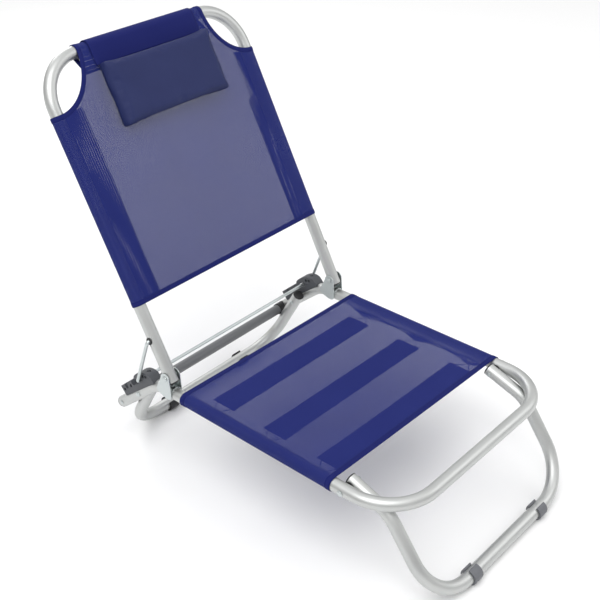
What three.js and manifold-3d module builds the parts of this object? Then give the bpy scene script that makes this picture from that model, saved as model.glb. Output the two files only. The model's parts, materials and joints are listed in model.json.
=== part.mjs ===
// Low folding beach chair: a bent aluminium tube frame with mesh slings, a reclining backrest
// held by a wire bail in two toothed racks, two U-shaped folding legs and a hanging head pillow.
// Millimetres, +Z up, the sitter faces -Y. The frame is laid out from the backrest hinge (y = 0),
// and the finished chair is moved so that its origin is the bottom centre of its box.

import * as THREE from 'three';
import { mergeVertices } from 'three/addons/utils/BufferGeometryUtils.js';
import Module from 'manifold-3d';

const wasm = await Module();
wasm.setup();

// ---------- Driving dimensions ----------

const TUBE_R = 12.5;                     // all four frame tubes are 25 mm aluminium tube
const BORE_R = 11;
const GAP = 0.3;                         // running gap between touching pieces
const HALF_SPAN = 244;                   // side tube axis to the centre plane
const FOOT_R = TUBE_R + 3.4;             // a foot clip's underside below its tube's axis

const PIVOT_Z = 235.5;                   // backrest hinge above the floor
const SEAT_Z = 200;                      // seat tube axis under the hinge
const SEAT_SLOPE = THREE.MathUtils.degToRad(0.6);     // the seat falls this much to the front
const SEAT_FRONT = 550.5;                // hinge to the front bar
const SEAT_CORNER_R = 98;
const TAIL_Y = 36.6;                     // where the side tubes turn down behind the hinge
const TAIL_ANGLE = THREE.MathUtils.degToRad(39.5);
const TAIL_LENGTH = 155.8;
const TAIL_BEND_R = 70;

const LEAN = THREE.MathUtils.degToRad(27.64);         // backrest from upright
const BACK_LENGTH = 629.6;               // hinge to the top bar
const BACK_CORNER_R = 89;
const BACK_FLARE = 4.8;                  // each side tube leans out this much by the top
const BACK_TAIL = 11.5;                  // tube below the hinge

const LEG_X = HALF_SPAN - 2 * TUBE_R - 2;             // leg tubes run inside the side tubes
const FRONT_LEG_Y = -434;
const FRONT_KNEE = [-509.8, 168.5];
const FRONT_BAR_Y = -619.4;
const FRONT_LEG_CORNER_R = 88.6;
const FRONT_LEG_STUB = 8;                // tube behind the front leg's rivet
const REAR_LEG_AT = 70.2;                // rivet, measured down the tail
const REAR_BAR_Y = 171.1;
const REAR_LEG_CORNER_R = 73;
const REAR_LEG_STUB = 20;

const RIVET_R = 3;
const HINGE_PIN_R = 4;
const CROSS_R = 11;                      // cross tube behind the rear legs
const CROSS_CAP_R = 13;
const CROSS_CAP_INNER_X = 217;

const WIRE_R = 3.5;
const WIRE_X = HALF_SPAN + 18;
const WIRE_BEND_R = 5.5;
const WIRE_HOLE_AT = 80;                 // bail hole, measured up the backrest
const WIRE_AT_RACK = [80.5, 194.5];      // the bail's cross-run in its notch, y and z
const NOTCH_PITCH = 29;
const RACK_WIDTH = 23;

const CLOTH = 1.2;                       // mesh fabric thickness in this model
const SLEEVE_R = TUBE_R + 0.4;
const SEAT_CLOTH = [-43, -417];          // middle of its rear and front edges
const CLOTH_SKEW = -0.024;                // the cover is sewn a little out of square
const STRAPS = [-103, -236, -367];       // middles of the three straps under the seat
const STRAP_WIDTH = 56;
const STRAP_HALF_LENGTH = 201;
const STRAP_DROP = 9.5;                  // strap below the side tubes' axis
const CORD_R = 1;
const BACK_CLOTH_LOW = 151;
const BACK_CLOTH_SHOULDER = 530;
const BACK_CLOTH_TOP_HALF = 161;
const PILLOW_HALF_WIDTH = 140;
const PILLOW_SPAN = [463, 598];          // measured up the backrest
const PILLOW_FRONT = 47;                 // measured forwards from the backrest's mid-plane
const PILLOW_LOOP_HALF = 134;

const MATERIALS = {
    aluminium: { color: 0xc3c5c4, roughness: 0.35, metalness: 0.9 },
    steel: { color: 0x9aa6a8, roughness: 0.4, metalness: 0.9 },
    plastic: { color: 0x4f5258, roughness: 0.55, metalness: 0 },
    black: { color: 0x1d1d1f, roughness: 0.6, metalness: 0 },
    painted: { color: 0x55585d, roughness: 0.5, metalness: 0.3 },
    mesh: { color: 0x4a4f86, roughness: 0.85, metalness: 0 },
    webbing: { color: 0x1c2560, roughness: 0.85, metalness: 0 },
    pillow: { color: 0x2f3871, roughness: 0.6, metalness: 0 },
};

// ---------- Chair geometry worked out from the dimensions ----------

const tailDown = [Math.cos(TAIL_ANGLE), -Math.sin(TAIL_ANGLE)];
const tailUp = [Math.sin(TAIL_ANGLE), Math.cos(TAIL_ANGLE)];
const backUp = [Math.sin(LEAN), Math.cos(LEAN)];
const backOut = [-Math.cos(LEAN), Math.sin(LEAN)];

// Points in the side plane, as [y, z].
const onSeat = (y, rise = 0) => [y, SEAT_Z + y * Math.tan(SEAT_SLOPE) + rise];
const tailStart = onSeat(TAIL_Y);
const onTail = (along, above = 0) => [
    tailStart[0] + along * tailDown[0] + above * tailUp[0],
    tailStart[1] + along * tailDown[1] + above * tailUp[1],
];
const onBack = (up, out = 0) => [
    up * backUp[0] + out * backOut[0],
    PIVOT_Z + up * backUp[1] + out * backOut[1],
];
const backX = (up) => HALF_SPAN + (BACK_FLARE * up) / BACK_LENGTH;
const beyond = (from, to, extra) => {
    const length = Math.hypot(to[0] - from[0], to[1] - from[1]);
    return [to[0] + ((to[0] - from[0]) * extra) / length, to[1] + ((to[1] - from[1]) * extra) / length];
};

const frontPivot = onSeat(FRONT_LEG_Y);
const rearPivot = onTail(REAR_LEG_AT);
const rearBar = [REAR_BAR_Y, FOOT_R];
// The cross tube lies on the tails' axis, where its end caps touch the rear legs.
const rearLegAngle = Math.atan2(rearPivot[1] - rearBar[1], rearBar[0] - rearPivot[0]);
const CROSS_AT = REAR_LEG_AT + (TUBE_R + CROSS_CAP_R + GAP) / Math.sin(rearLegAngle - TAIL_ANGLE);
const crossCentre = onTail(CROSS_AT);
const wireHole = onBack(WIRE_HOLE_AT);

const vec = (x, [y, z]) => new THREE.Vector3(x, y, z);

// ---------- Shapes ----------

// A route of straight runs joined by round bends. Its stations lie only at the ends and round
// the bends, so a long straight run costs one segment.
class BentRoute extends THREE.Curve {
    constructor(corners, radii, stepsPerBend = 6) {
        super();
        this.stations = [corners[0]];
        this.tangents = [];
        let direction = corners[1].clone().sub(corners[0]).normalize();
        this.tangents.push(direction);
        for (let i = 1; i < corners.length - 1; i += 1) {
            const next = corners[i + 1].clone().sub(corners[i]).normalize();
            const turn = direction.angleTo(next);
            const trim = radii[i - 1] * Math.tan(turn / 2);
            const start = corners[i].clone().addScaledVector(direction, -trim);
            const inward = next.clone().addScaledVector(direction, -next.dot(direction)).normalize();
            const steps = Math.max(2, Math.ceil((stepsPerBend * turn) / (Math.PI / 2)));
            for (let k = 0; k <= steps; k += 1) {
                const angle = (turn * k) / steps;
                this.stations.push(start.clone()
                    .addScaledVector(direction, radii[i - 1] * Math.sin(angle))
                    .addScaledVector(inward, radii[i - 1] * (1 - Math.cos(angle))));
                this.tangents.push(direction.clone().multiplyScalar(Math.cos(angle))
                    .addScaledVector(inward, Math.sin(angle)));
            }
            direction = next;
        }
        this.stations.push(corners[corners.length - 1]);
        this.tangents.push(direction);
        this.steps = this.stations.length - 1;
    }

    getSpacedPoints() {
        return this.stations.map((point) => point.clone());
    }

    getTangentAt(u) {
        return this.tangents[Math.round(u * this.steps)].clone();
    }
}

function ringPoints(radius, sides, x = 0, y = 0) {
    return Array.from({ length: sides }, (_, i) => {
        const angle = (2 * Math.PI * (i + 0.5)) / sides;
        return new THREE.Vector2(x + radius * Math.cos(angle), y + radius * Math.sin(angle));
    });
}

function ringShape(outer, inner, sides) {
    const shape = new THREE.Shape(ringPoints(outer, sides));
    if (inner > 0) shape.holes.push(new THREE.Path(ringPoints(inner, Math.max(8, sides - 4))));
    return shape;
}

function tube(route, outer, inner, sides) {
    return new THREE.ExtrudeGeometry(ringShape(outer, inner, sides), {
        steps: route.steps, extrudePath: route, bevelEnabled: false,
    });
}

// A bar or ring with its axis along X, from x0 to x1, about a point of the side plane.
function crossBar(x0, x1, centre, outer, inner = 0, sides = 20) {
    const geometry = new THREE.ExtrudeGeometry(ringShape(outer, inner, sides), {
        depth: x1 - x0, bevelEnabled: false,
    });
    return geometry.rotateY(Math.PI / 2).translate(x0, centre[0], centre[1]);
}

// A plate whose outline is drawn in the side plane and whose thickness runs along X.
function sidePlate(outline, x0, x1) {
    const shape = outline instanceof THREE.Shape
        ? outline
        : new THREE.Shape(outline.map(([y, z]) => new THREE.Vector2(y, z)));
    const geometry = new THREE.ExtrudeGeometry(shape, { depth: x1 - x0, bevelEnabled: false, curveSegments: 14 });
    const basis = new THREE.Matrix4().makeBasis(
        new THREE.Vector3(0, 1, 0), new THREE.Vector3(0, 0, 1), new THREE.Vector3(1, 0, 0));
    return geometry.applyMatrix4(basis).translate(x0, 0, 0);
}

function box(low, high) {
    const size = high.map((value, i) => value - low[i]);
    return new THREE.BoxGeometry(...size)
        .translate(...high.map((value, i) => (value + low[i]) / 2));
}

// A turned piece: radii and distances along its axis, which runs from a point in a direction.
function turned(profile, from, direction, sides = 16) {
    const lathe = new THREE.LatheGeometry(profile.map(([r, h]) => new THREE.Vector2(r, h)), sides);
    const spin = new THREE.Quaternion().setFromUnitVectors(new THREE.Vector3(0, 1, 0), direction);
    return lathe.applyQuaternion(spin).translate(from.x, from.y, from.z);
}

// ---------- Booleans ----------

function solid(geometry) {
    const bare = geometry.clone();
    bare.deleteAttribute('normal');
    bare.deleteAttribute('uv');
    const merged = mergeVertices(bare, 1e-4);
    return new wasm.Manifold(new wasm.Mesh({
        numProp: 3,
        vertProperties: new Float32Array(merged.attributes.position.array),
        triVerts: new Uint32Array(merged.index.array),
    }));
}

function fromSolid(manifold) {
    const mesh = manifold.getMesh();
    const geometry = new THREE.BufferGeometry();
    geometry.setAttribute('position', new THREE.BufferAttribute(mesh.vertProperties, 3));
    geometry.setIndex(new THREE.BufferAttribute(mesh.triVerts, 1));
    geometry.computeVertexNormals();
    return geometry;
}

const cut = (body, ...tools) => fromSolid(tools.reduce((left, tool) => left.subtract(solid(tool)), solid(body)));
const join = (first, ...rest) => fromSolid(rest.reduce((sum, piece) => sum.add(solid(piece)), solid(first)));

// ---------- Scene helpers ----------

const chair = new THREE.Group();

function add(name, geometry, material) {
    const mesh = new THREE.Mesh(geometry, new THREE.MeshStandardMaterial(MATERIALS[material]));
    mesh.name = name;
    chair.add(mesh);
}

// Calls make once for each side: 1 is the sitter's left, -1 the right.
function bothSides(make) {
    make(1, 'left');
    make(-1, 'right');
}

// ---------- Frame tubes ----------

function seatRoute() {
    const front = onSeat(-SEAT_FRONT);
    const end = onTail(TAIL_LENGTH);
    const corners = [
        vec(-HALF_SPAN, end), vec(-HALF_SPAN, tailStart), vec(-HALF_SPAN, front),
        vec(HALF_SPAN, front), vec(HALF_SPAN, tailStart), vec(HALF_SPAN, end),
    ];
    return new BentRoute(corners, [TAIL_BEND_R, SEAT_CORNER_R, SEAT_CORNER_R, TAIL_BEND_R]);
}

function backRoute() {
    const low = onBack(-BACK_TAIL);
    const top = onBack(BACK_LENGTH);
    const corners = [
        vec(-backX(-BACK_TAIL), low), vec(-backX(BACK_LENGTH), top),
        vec(backX(BACK_LENGTH), top), vec(backX(-BACK_TAIL), low),
    ];
    return new BentRoute(corners, [BACK_CORNER_R, BACK_CORNER_R]);
}

function frontLegRoute() {
    const end = beyond(FRONT_KNEE, frontPivot, FRONT_LEG_STUB);
    const bar = [FRONT_BAR_Y, FOOT_R];
    const side = (x) => [vec(x, end), vec(x, FRONT_KNEE), vec(x, bar)];
    const kneeR = 60;
    return new BentRoute([...side(-LEG_X), ...side(LEG_X).reverse()],
        [kneeR, FRONT_LEG_CORNER_R, FRONT_LEG_CORNER_R, kneeR]);
}

function rearLegRoute() {
    const end = beyond(rearBar, rearPivot, REAR_LEG_STUB);
    return new BentRoute([vec(-LEG_X, end), vec(-LEG_X, rearBar), vec(LEG_X, rearBar), vec(LEG_X, end)],
        [REAR_LEG_CORNER_R, REAR_LEG_CORNER_R]);
}

const frameTube = (route) => tube(route, TUBE_R, BORE_R, 16);
const crossHole = (x, centre, r) => crossBar(x - 2 * TUBE_R, x + 2 * TUBE_R, centre, r + GAP, 0, 12);

const screwSpots = [10, 79.5];           // rack screws, measured down the tail
const SCREW_R = 1.8;
const RACK_SCREW_HEAD = 24;              // under the head, above the tail's axis
const BRACKET_RIVET_Y = -2;

function rackScrewHole(x, along) {
    return turned([[0, 0], [SCREW_R + GAP, 0], [SCREW_R + GAP, 25], [0, 25]],
        vec(x, onTail(along, 4)), new THREE.Vector3(0, ...tailUp), 10);
}

function seatFrame() {
    const tools = [];
    bothSides((side) => {
        const x = side * HALF_SPAN;
        tools.push(crossHole(x, frontPivot, RIVET_R), crossHole(x, rearPivot, RIVET_R));
        tools.push(crossHole(x, crossCentre, 2.5));
        for (const along of screwSpots) tools.push(rackScrewHole(x, along));
        const top = onSeat(BRACKET_RIVET_Y, 5);
        tools.push(turned([[0, 0], [2.4 + GAP, 0], [2.4 + GAP, 15], [0, 15]],
            vec(x, top), new THREE.Vector3(0, 0, 1), 10));
    });
    add('seat_frame_tube', cut(frameTube(seatRoute()), ...tools), 'aluminium');
}

function backFrame() {
    const tools = [];
    bothSides((side) => {
        tools.push(crossHole(side * HALF_SPAN, onBack(0), HINGE_PIN_R));
        const inner = backX(WIRE_HOLE_AT);
        const [x0, x1] = side > 0 ? [inner, inner + 20] : [-inner - 20, -inner];
        tools.push(crossBar(x0, x1, wireHole, 5.5, 0, 12));
    });
    add('backrest_tube', cut(frameTube(backRoute()), ...tools), 'aluminium');
}

function leg(name, route, pivot) {
    add(name, cut(frameTube(route), crossHole(LEG_X, pivot, RIVET_R), crossHole(-LEG_X, pivot, RIVET_R)),
        'aluminium');
}

// ---------- Rivets, screws, washers, plugs and feet ----------

// A rivet through two side-by-side tubes: a round outer head, a shank and a small closing head.
function legRivet(side, pivot) {
    const outer = HALF_SPAN + TUBE_R + GAP;
    const inner = LEG_X - TUBE_R - GAP;
    const reach = outer - inner;
    const profile = [[0, -2.6], [3.4, -2.3], [6, 0], [RIVET_R, 0], [RIVET_R, reach],
        [5, reach], [4.2, reach + 1.8], [0, reach + 2]];
    return turned(profile, vec(side * outer, pivot), new THREE.Vector3(-side, 0, 0));
}

function washer(side, pivot) {
    const outer = HALF_SPAN - TUBE_R - GAP;
    const inner = LEG_X + TUBE_R + GAP;
    const [x0, x1] = side > 0 ? [inner, outer] : [-outer, -inner];
    return crossBar(x0, x1, pivot, 8, RIVET_R + GAP, 16);
}

// A domed plastic plug whose spigot sits in a tube end. out points away from the tube.
function plug(end, out, material, name) {
    const spigot = BORE_R * Math.cos(Math.PI / 12) - GAP;
    const profile = [[0, -4], [spigot, -4], [spigot, GAP], [TUBE_R, GAP], [TUBE_R, 1.6], [9.5, 3.2], [0, 4]];
    add(name, turned(profile, end, out, 16), material);
}

// A springy C-shaped foot clip with a flat underside. The mouth runs between two angles in
// degrees, counted from the rear upwards.
function footClip(y, x0, x1, mouthFrom, mouthTo) {
    const outer = 16.6;
    const inner = TUBE_R + GAP;
    const [open, close] = [mouthFrom, mouthTo].map(THREE.MathUtils.degToRad);
    const flat = Math.asin(FOOT_R / outer);
    const shape = new THREE.Shape();
    shape.absarc(0, 0, outer, open, -flat, true);
    shape.absarc(0, 0, outer, -Math.PI + flat, close - 2 * Math.PI, true);
    shape.absarc(0, 0, inner, close, open + 2 * Math.PI, false);
    return sidePlate(shape, x0, x1).translate(0, y, FOOT_R);
}

// ---------- Hinge bracket ----------

function bracket(side) {
    const x = side * HALF_SPAN;
    const cheek = new THREE.Shape();
    cheek.absarc(0, PIVOT_Z, 12, Math.PI, 0, true);
    cheek.lineTo(27, 205);
    cheek.quadraticCurveTo(27, 198, 20, 196);
    cheek.lineTo(6, 191);
    cheek.quadraticCurveTo(-13.5, 186, -14, 200);
    const saddleShape = new THREE.Shape();
    saddleShape.absarc(0, 0, 14.4, 0, Math.PI, false);
    saddleShape.absarc(0, 0, TUBE_R + GAP, Math.PI, 0, true);
    const saddle = new THREE.ExtrudeGeometry(saddleShape, { depth: 30, bevelEnabled: false, curveSegments: 10 })
        .rotateX(Math.PI / 2).translate(x, 17, 0).translate(0, 0, SEAT_Z);
    const holes = crossHole(x, onBack(0), HINGE_PIN_R);
    const rivetHole = turned([[0, 0], [2.4 + GAP, 0], [2.4 + GAP, 12], [0, 12]],
        vec(x, onSeat(BRACKET_RIVET_Y, 8)), new THREE.Vector3(0, 0, 1), 10);
    const body = join(sidePlate(cheek, x + 13, x + 14.6), sidePlate(cheek, x - 14.6, x - 13), saddle);
    return cut(body, holes, rivetHole);
}

function hingePin(side) {
    const half = 14.6 + GAP;
    const profile = [[0, -2.6], [3, -2.6], [6.4, -1.6], [6.4, 0], [HINGE_PIN_R, 0], [HINGE_PIN_R, 2 * half],
        [5.6, 2 * half], [5, 2 * half + 1.6], [0, 2 * half + 2]];
    return turned(profile, vec(side * (HALF_SPAN + half), onBack(0)), new THREE.Vector3(-side, 0, 0));
}

function bracketRivet(side) {
    const top = vec(side * HALF_SPAN, onSeat(BRACKET_RIVET_Y, 14.4 + GAP));
    const profile = [[0, -9], [2.4, -9], [2.4, 0], [4.5, 0], [3.2, 1.5], [0, 1.9]];
    return turned(profile, top, new THREE.Vector3(0, 0, 1), 12);
}

// ---------- Rack, bail and cross tube ----------

// The rack's side view, drawn down the tail: a rounded hump with a hooked slot in front, then
// teeth with a notch at each pitch.
function rackOutline() {
    const rod = wireAlongTail();
    const r = WIRE_R + 0.6;
    const shape = new THREE.Shape();
    const put = (along, above) => shape.lineTo(along, above);
    shape.moveTo(115, 8);
    put(-1, 5);
    shape.quadraticCurveTo(-3, 20, 4, 27);
    shape.quadraticCurveTo(10, 33, 20, 36.5);
    shape.quadraticCurveTo(38, 40.5, 51, 37);
    shape.quadraticCurveTo(57, 34, 56, 30.5);
    put(rod.along + 3, rod.above + r);
    shape.absarc(rod.along, rod.above, r, Math.PI / 2, (3 * Math.PI) / 2, false);
    const floor = rod.above - r;
    for (let i = 1; i < 3; i += 1) {
        const centre = rod.along + i * NOTCH_PITCH;
        put(centre + r - 3, floor);
        shape.quadraticCurveTo(centre + r, floor, centre + r, floor + 3);
        if (i === 2) break;
        put(centre + r + 1.5, 31.5);
        put(centre + NOTCH_PITCH - r - 1.5, 32);
        put(centre + NOTCH_PITCH - r, floor + 3);
        shape.quadraticCurveTo(centre + NOTCH_PITCH - r, floor, centre + NOTCH_PITCH - r + 3, floor);
    }
    put(rod.along + 2 * NOTCH_PITCH + r + 1.5, 31.5);
    put(115, 31);
    const plane = shape.extractPoints(8).shape;
    return plane.map((point) => onTail(point.x, point.y));
}

function wireAlongTail() {
    const dy = WIRE_AT_RACK[0] - tailStart[0];
    const dz = WIRE_AT_RACK[1] - tailStart[1];
    return { along: dy * tailDown[0] + dz * tailDown[1], above: dy * tailUp[0] + dz * tailUp[1] };
}

function rack(side, saddle) {
    const x = side * HALF_SPAN;
    const pockets = screwSpots.flatMap((along) => [
        rackScrewHole(x, along),
        turned([[0, 0], [4.2, 0], [4.2, 20], [0, 20]], vec(x, onTail(along, RACK_SCREW_HEAD - GAP)),
            new THREE.Vector3(0, ...tailUp), 12),
    ]);
    // Round core-outs moulded into both faces, as distance down the tail, height and radius.
    for (const [along, above, radius] of [[80, 22, 3.6], [107, 21, 3.4], [14, 24, 3.2], [22, 28, 3.4]]) {
        for (const face of [-1, 1]) {
            const wall = x + (face * RACK_WIDTH) / 2;
            pockets.push(crossBar(wall - 3.5, wall + 3.5, onTail(along, above), radius, 0, 12));
        }
    }
    const blank = sidePlate(rackOutline(), x - RACK_WIDTH / 2, x + RACK_WIDTH / 2);
    return cut(blank, saddle, ...pockets);
}

function rackScrew(side, along) {
    const profile = [[0, -20], [SCREW_R, -20], [SCREW_R, 0], [3.7, 0], [3.2, 1.9], [0, 2.4]];
    const seat = vec(side * HALF_SPAN, onTail(along, RACK_SCREW_HEAD));
    return turned(profile, seat, new THREE.Vector3(0, ...tailUp), 12);
}

function bailRoute() {
    const pin = backX(WIRE_HOLE_AT) - 8;
    const corners = [vec(-pin, wireHole), vec(-WIRE_X, wireHole), vec(-WIRE_X, WIRE_AT_RACK),
        vec(WIRE_X, WIRE_AT_RACK), vec(WIRE_X, wireHole), vec(pin, wireHole)];
    return new BentRoute(corners, Array(4).fill(WIRE_BEND_R), 4);
}

function grommet(side) {
    const wall = backX(WIRE_HOLE_AT) + TUBE_R;
    const profile = [[4.6, -3], [5.2, -3], [5.2, GAP], [7.5, GAP], [7, 1], [4.6, 1], [4.6, -3]];
    return turned(profile, vec(side * wall, wireHole), new THREE.Vector3(side, 0, 0), 12);
}

function crossTubeSet() {
    const end = 228;
    add('cross_tube', crossBar(-end, end, crossCentre, CROSS_R, CROSS_R - 1.5, 16), 'painted');
    bothSides((side, label) => {
        const span = (a, b) => (side > 0 ? [a, b] : [-b, -a]);
        const tail = turned([[0, -40], [TUBE_R + GAP, -40], [TUBE_R + GAP, 40], [0, 40]],
            vec(side * HALF_SPAN, crossCentre), new THREE.Vector3(0, ...tailDown), 16);
        const cap = crossBar(...span(CROSS_CAP_INNER_X, 236), crossCentre, CROSS_CAP_R, 0, 20);
        const bore = crossBar(...span(CROSS_CAP_INNER_X - 1, end + GAP), crossCentre, CROSS_R + GAP, 0, 20);
        const hole = crossBar(...span(end - 1, 240), crossCentre, 2.8, 0, 12);
        add(`cross_tube_cap_${label}`, cut(cap, bore, hole, tail), 'black');
        const head = HALF_SPAN + TUBE_R + GAP;
        const screw = turned([[0, -2], [3, -1.8], [4.6, 0], [2.5, 0], [2.5, 32], [0, 34]],
            vec(side * head, crossCentre), new THREE.Vector3(-side, 0, 0), 12);
        add(`cross_tube_screw_${label}`, screw, 'steel');
    });
}

// ---------- Slings, straps and pillow ----------

// Adds a thin-walled sleeve's outline: a right-hand and a left-hand ring joined by a flat panel
// across their tops. The tubes run through the two holes.
function slingSection() {
    const outer = SLEEVE_R + CLOTH;
    const meet = Math.asin(SLEEVE_R / outer);
    const shape = new THREE.Shape();
    shape.absarc(HALF_SPAN, 0, outer, Math.PI / 2, -Math.PI - meet, true);
    shape.absarc(-HALF_SPAN, 0, outer, meet, (-3 * Math.PI) / 2, true);
    for (const x of [-HALF_SPAN, HALF_SPAN]) {
        const hole = new THREE.Path();
        hole.absarc(x, 0, SLEEVE_R, 0, 2 * Math.PI, false);
        shape.holes.push(hole);
    }
    return shape;
}

// Slides every point along Y in proportion to its X, as a cover sewn out of square is.
function skewed(geometry) {
    return geometry.applyMatrix4(new THREE.Matrix4().set(1, 0, 0, 0, CLOTH_SKEW, 1, 0, 0, 0, 0, 1, 0, 0, 0, 0, 1));
}

// Lays a piece drawn about a level side tube's axis onto the sloping seat.
function onSeatSlope(geometry) {
    const slope = Math.tan(SEAT_SLOPE);
    return geometry.applyMatrix4(
        new THREE.Matrix4().set(1, 0, 0, 0, 0, 1, 0, 0, 0, slope, 1, SEAT_Z, 0, 0, 0, 1));
}

function seatSling() {
    const [rear, front] = SEAT_CLOTH;
    const geometry = new THREE.ExtrudeGeometry(slingSection(), {
        depth: rear - front, bevelEnabled: false, curveSegments: 12,
    });
    return onSeatSlope(skewed(geometry.rotateX(Math.PI / 2).translate(0, rear, 0)));
}

// A strap under the seat, with a V of cord at each end tying it to the seat cover's sleeve.
function seatStrap(middle) {
    const half = STRAP_WIDTH / 2;
    const pieces = [box([-STRAP_HALF_LENGTH, middle - half, -STRAP_DROP - 1.2],
        [STRAP_HALF_LENGTH, middle + half, -STRAP_DROP])];
    for (const side of [1, -1]) {
        const tip = new THREE.Vector3(side * 229.6, middle, -6.6);
        for (const edge of [-1, 1]) {
            const from = new THREE.Vector3(side * (STRAP_HALF_LENGTH - 3), middle + edge * (half - 4), -STRAP_DROP - 0.6);
            const span = tip.clone().sub(from);
            pieces.push(turned([[0, 0], [CORD_R, 0], [CORD_R, span.length()], [0, span.length()]],
                from, span.normalize(), 6));
        }
    }
    return onSeatSlope(skewed(join(...pieces)));
}

// Turns a piece drawn flat, as width (X), distance up the backrest (Y) and forwards (Z), into place.
function ontoBack(geometry) {
    const basis = new THREE.Matrix4().makeBasis(
        new THREE.Vector3(1, 0, 0), new THREE.Vector3(0, ...backUp), new THREE.Vector3(0, ...backOut));
    return geometry.applyMatrix4(basis).translate(0, 0, PIVOT_Z);
}

// The front panel's outline, with a rounded bite out of each top corner.
function backPanel() {
    const low = BACK_CLOTH_LOW;
    const shoulder = BACK_CLOTH_SHOULDER;
    const top = BACK_CLOTH_TOP_HALF;
    const shape = new THREE.Shape();
    shape.moveTo(-backX(low), low);
    shape.lineTo(backX(low), low);
    shape.lineTo(backX(shoulder), shoulder);
    shape.bezierCurveTo(198, shoulder + 3, top + 2, 580, top, BACK_LENGTH);
    shape.lineTo(-top, BACK_LENGTH);
    shape.bezierCurveTo(-top - 2, 580, -198, shoulder + 3, -backX(shoulder), shoulder);
    shape.closePath();
    return new THREE.ExtrudeGeometry(shape, { depth: CLOTH, bevelEnabled: false, curveSegments: 12 })
        .translate(0, 0, SLEEVE_R);
}

function backSling() {
    const outer = SLEEVE_R + CLOTH;
    const pieces = [backPanel()];
    const bores = [];
    bothSides((side) => {
        const along = (up) => new THREE.Vector3(side * backX(up), up, 0);
        const run = (from, to, radius) => {
            const span = along(to).sub(along(from));
            return turned([[0, 0], [radius, 0], [radius, span.length()], [0, span.length()]],
                along(from), span.normalize(), 28);
        };
        pieces.push(run(BACK_CLOTH_LOW, BACK_CLOTH_SHOULDER, outer / Math.cos(Math.PI / 28)));
        bores.push(run(BACK_CLOTH_LOW - 5, BACK_CLOTH_SHOULDER + 5, SLEEVE_R));
    });
    const top = BACK_CLOTH_TOP_HALF;
    pieces.push(crossBar(-top, top, [BACK_LENGTH, 0], outer / Math.cos(Math.PI / 28), 0, 28));
    bores.push(crossBar(-top - 5, top + 5, [BACK_LENGTH, 0], SLEEVE_R, 0, 28));
    return ontoBack(cut(join(...pieces), ...bores));
}

const LOOP_INNER = SLEEVE_R + CLOTH + 0.5;
const LOOP_OUTER = LOOP_INNER + 1.4;

// The pillow's hanging flap: up the front of the backrest and over the top bar.
function pillowLoop() {
    const shape = new THREE.Shape();
    const end = (165 * Math.PI) / 180;
    shape.moveTo(PILLOW_SPAN[1] + 1 - BACK_LENGTH, LOOP_OUTER);
    shape.lineTo(PILLOW_SPAN[1] + 1 - BACK_LENGTH, LOOP_INNER);
    shape.absarc(0, 0, LOOP_INNER, Math.PI / 2, Math.PI / 2 - end, true);
    shape.absarc(0, 0, LOOP_OUTER, Math.PI / 2 - end, Math.PI / 2, false);
    shape.closePath();
    const geometry = new THREE.ExtrudeGeometry(shape, {
        depth: 2 * PILLOW_LOOP_HALF, bevelEnabled: false, curveSegments: 16,
    });
    // Drawn as distance up the backrest and forwards, extruded across the width.
    const basis = new THREE.Matrix4().makeBasis(
        new THREE.Vector3(0, 1, 0), new THREE.Vector3(0, 0, 1), new THREE.Vector3(1, 0, 0));
    return ontoBack(geometry.applyMatrix4(basis).translate(-PILLOW_LOOP_HALF, BACK_LENGTH, 0));
}

function pillowBody() {
    const [low, high] = PILLOW_SPAN;
    const back = LOOP_INNER;
    const round = 11;
    const half = PILLOW_HALF_WIDTH;
    const shape = new THREE.Shape();
    shape.moveTo(-half + round, low);
    for (const [x, y, start] of [[half, low, -90], [half, high, 0], [-half, high, 90], [-half, low, 180]]) {
        const cx = x - Math.sign(x) * round;
        const cy = y === low ? low + round : high - round;
        const from = THREE.MathUtils.degToRad(start);
        shape.absarc(cx, cy, round, from, from + Math.PI / 2, false);
    }
    const bevel = 5;
    const geometry = new THREE.ExtrudeGeometry(shape, {
        depth: PILLOW_FRONT - back - 2 * bevel, curveSegments: 4, bevelSegments: 3,
        bevelEnabled: true, bevelThickness: bevel, bevelSize: bevel, bevelOffset: -bevel,
    });
    return ontoBack(geometry.translate(0, 0, back + bevel));
}

// ---------- Assembly ----------

seatFrame();
backFrame();
leg('front_leg_tube', frontLegRoute(), frontPivot);
leg('rear_leg_tube', rearLegRoute(), rearPivot);
crossTubeSet();

const saddle = tube(seatRoute(), TUBE_R + GAP, 0, 20);
const tailEnd = new THREE.Vector3(0, ...tailDown);
const backEnd = new THREE.Vector3(0, -backUp[0], -backUp[1]);
const frontEnd = beyond(FRONT_KNEE, frontPivot, FRONT_LEG_STUB);
const rearEnd = beyond(rearBar, rearPivot, REAR_LEG_STUB);
const away = (from, to) => vec(0, [to[0] - from[0], to[1] - from[1]]).normalize();

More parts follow.
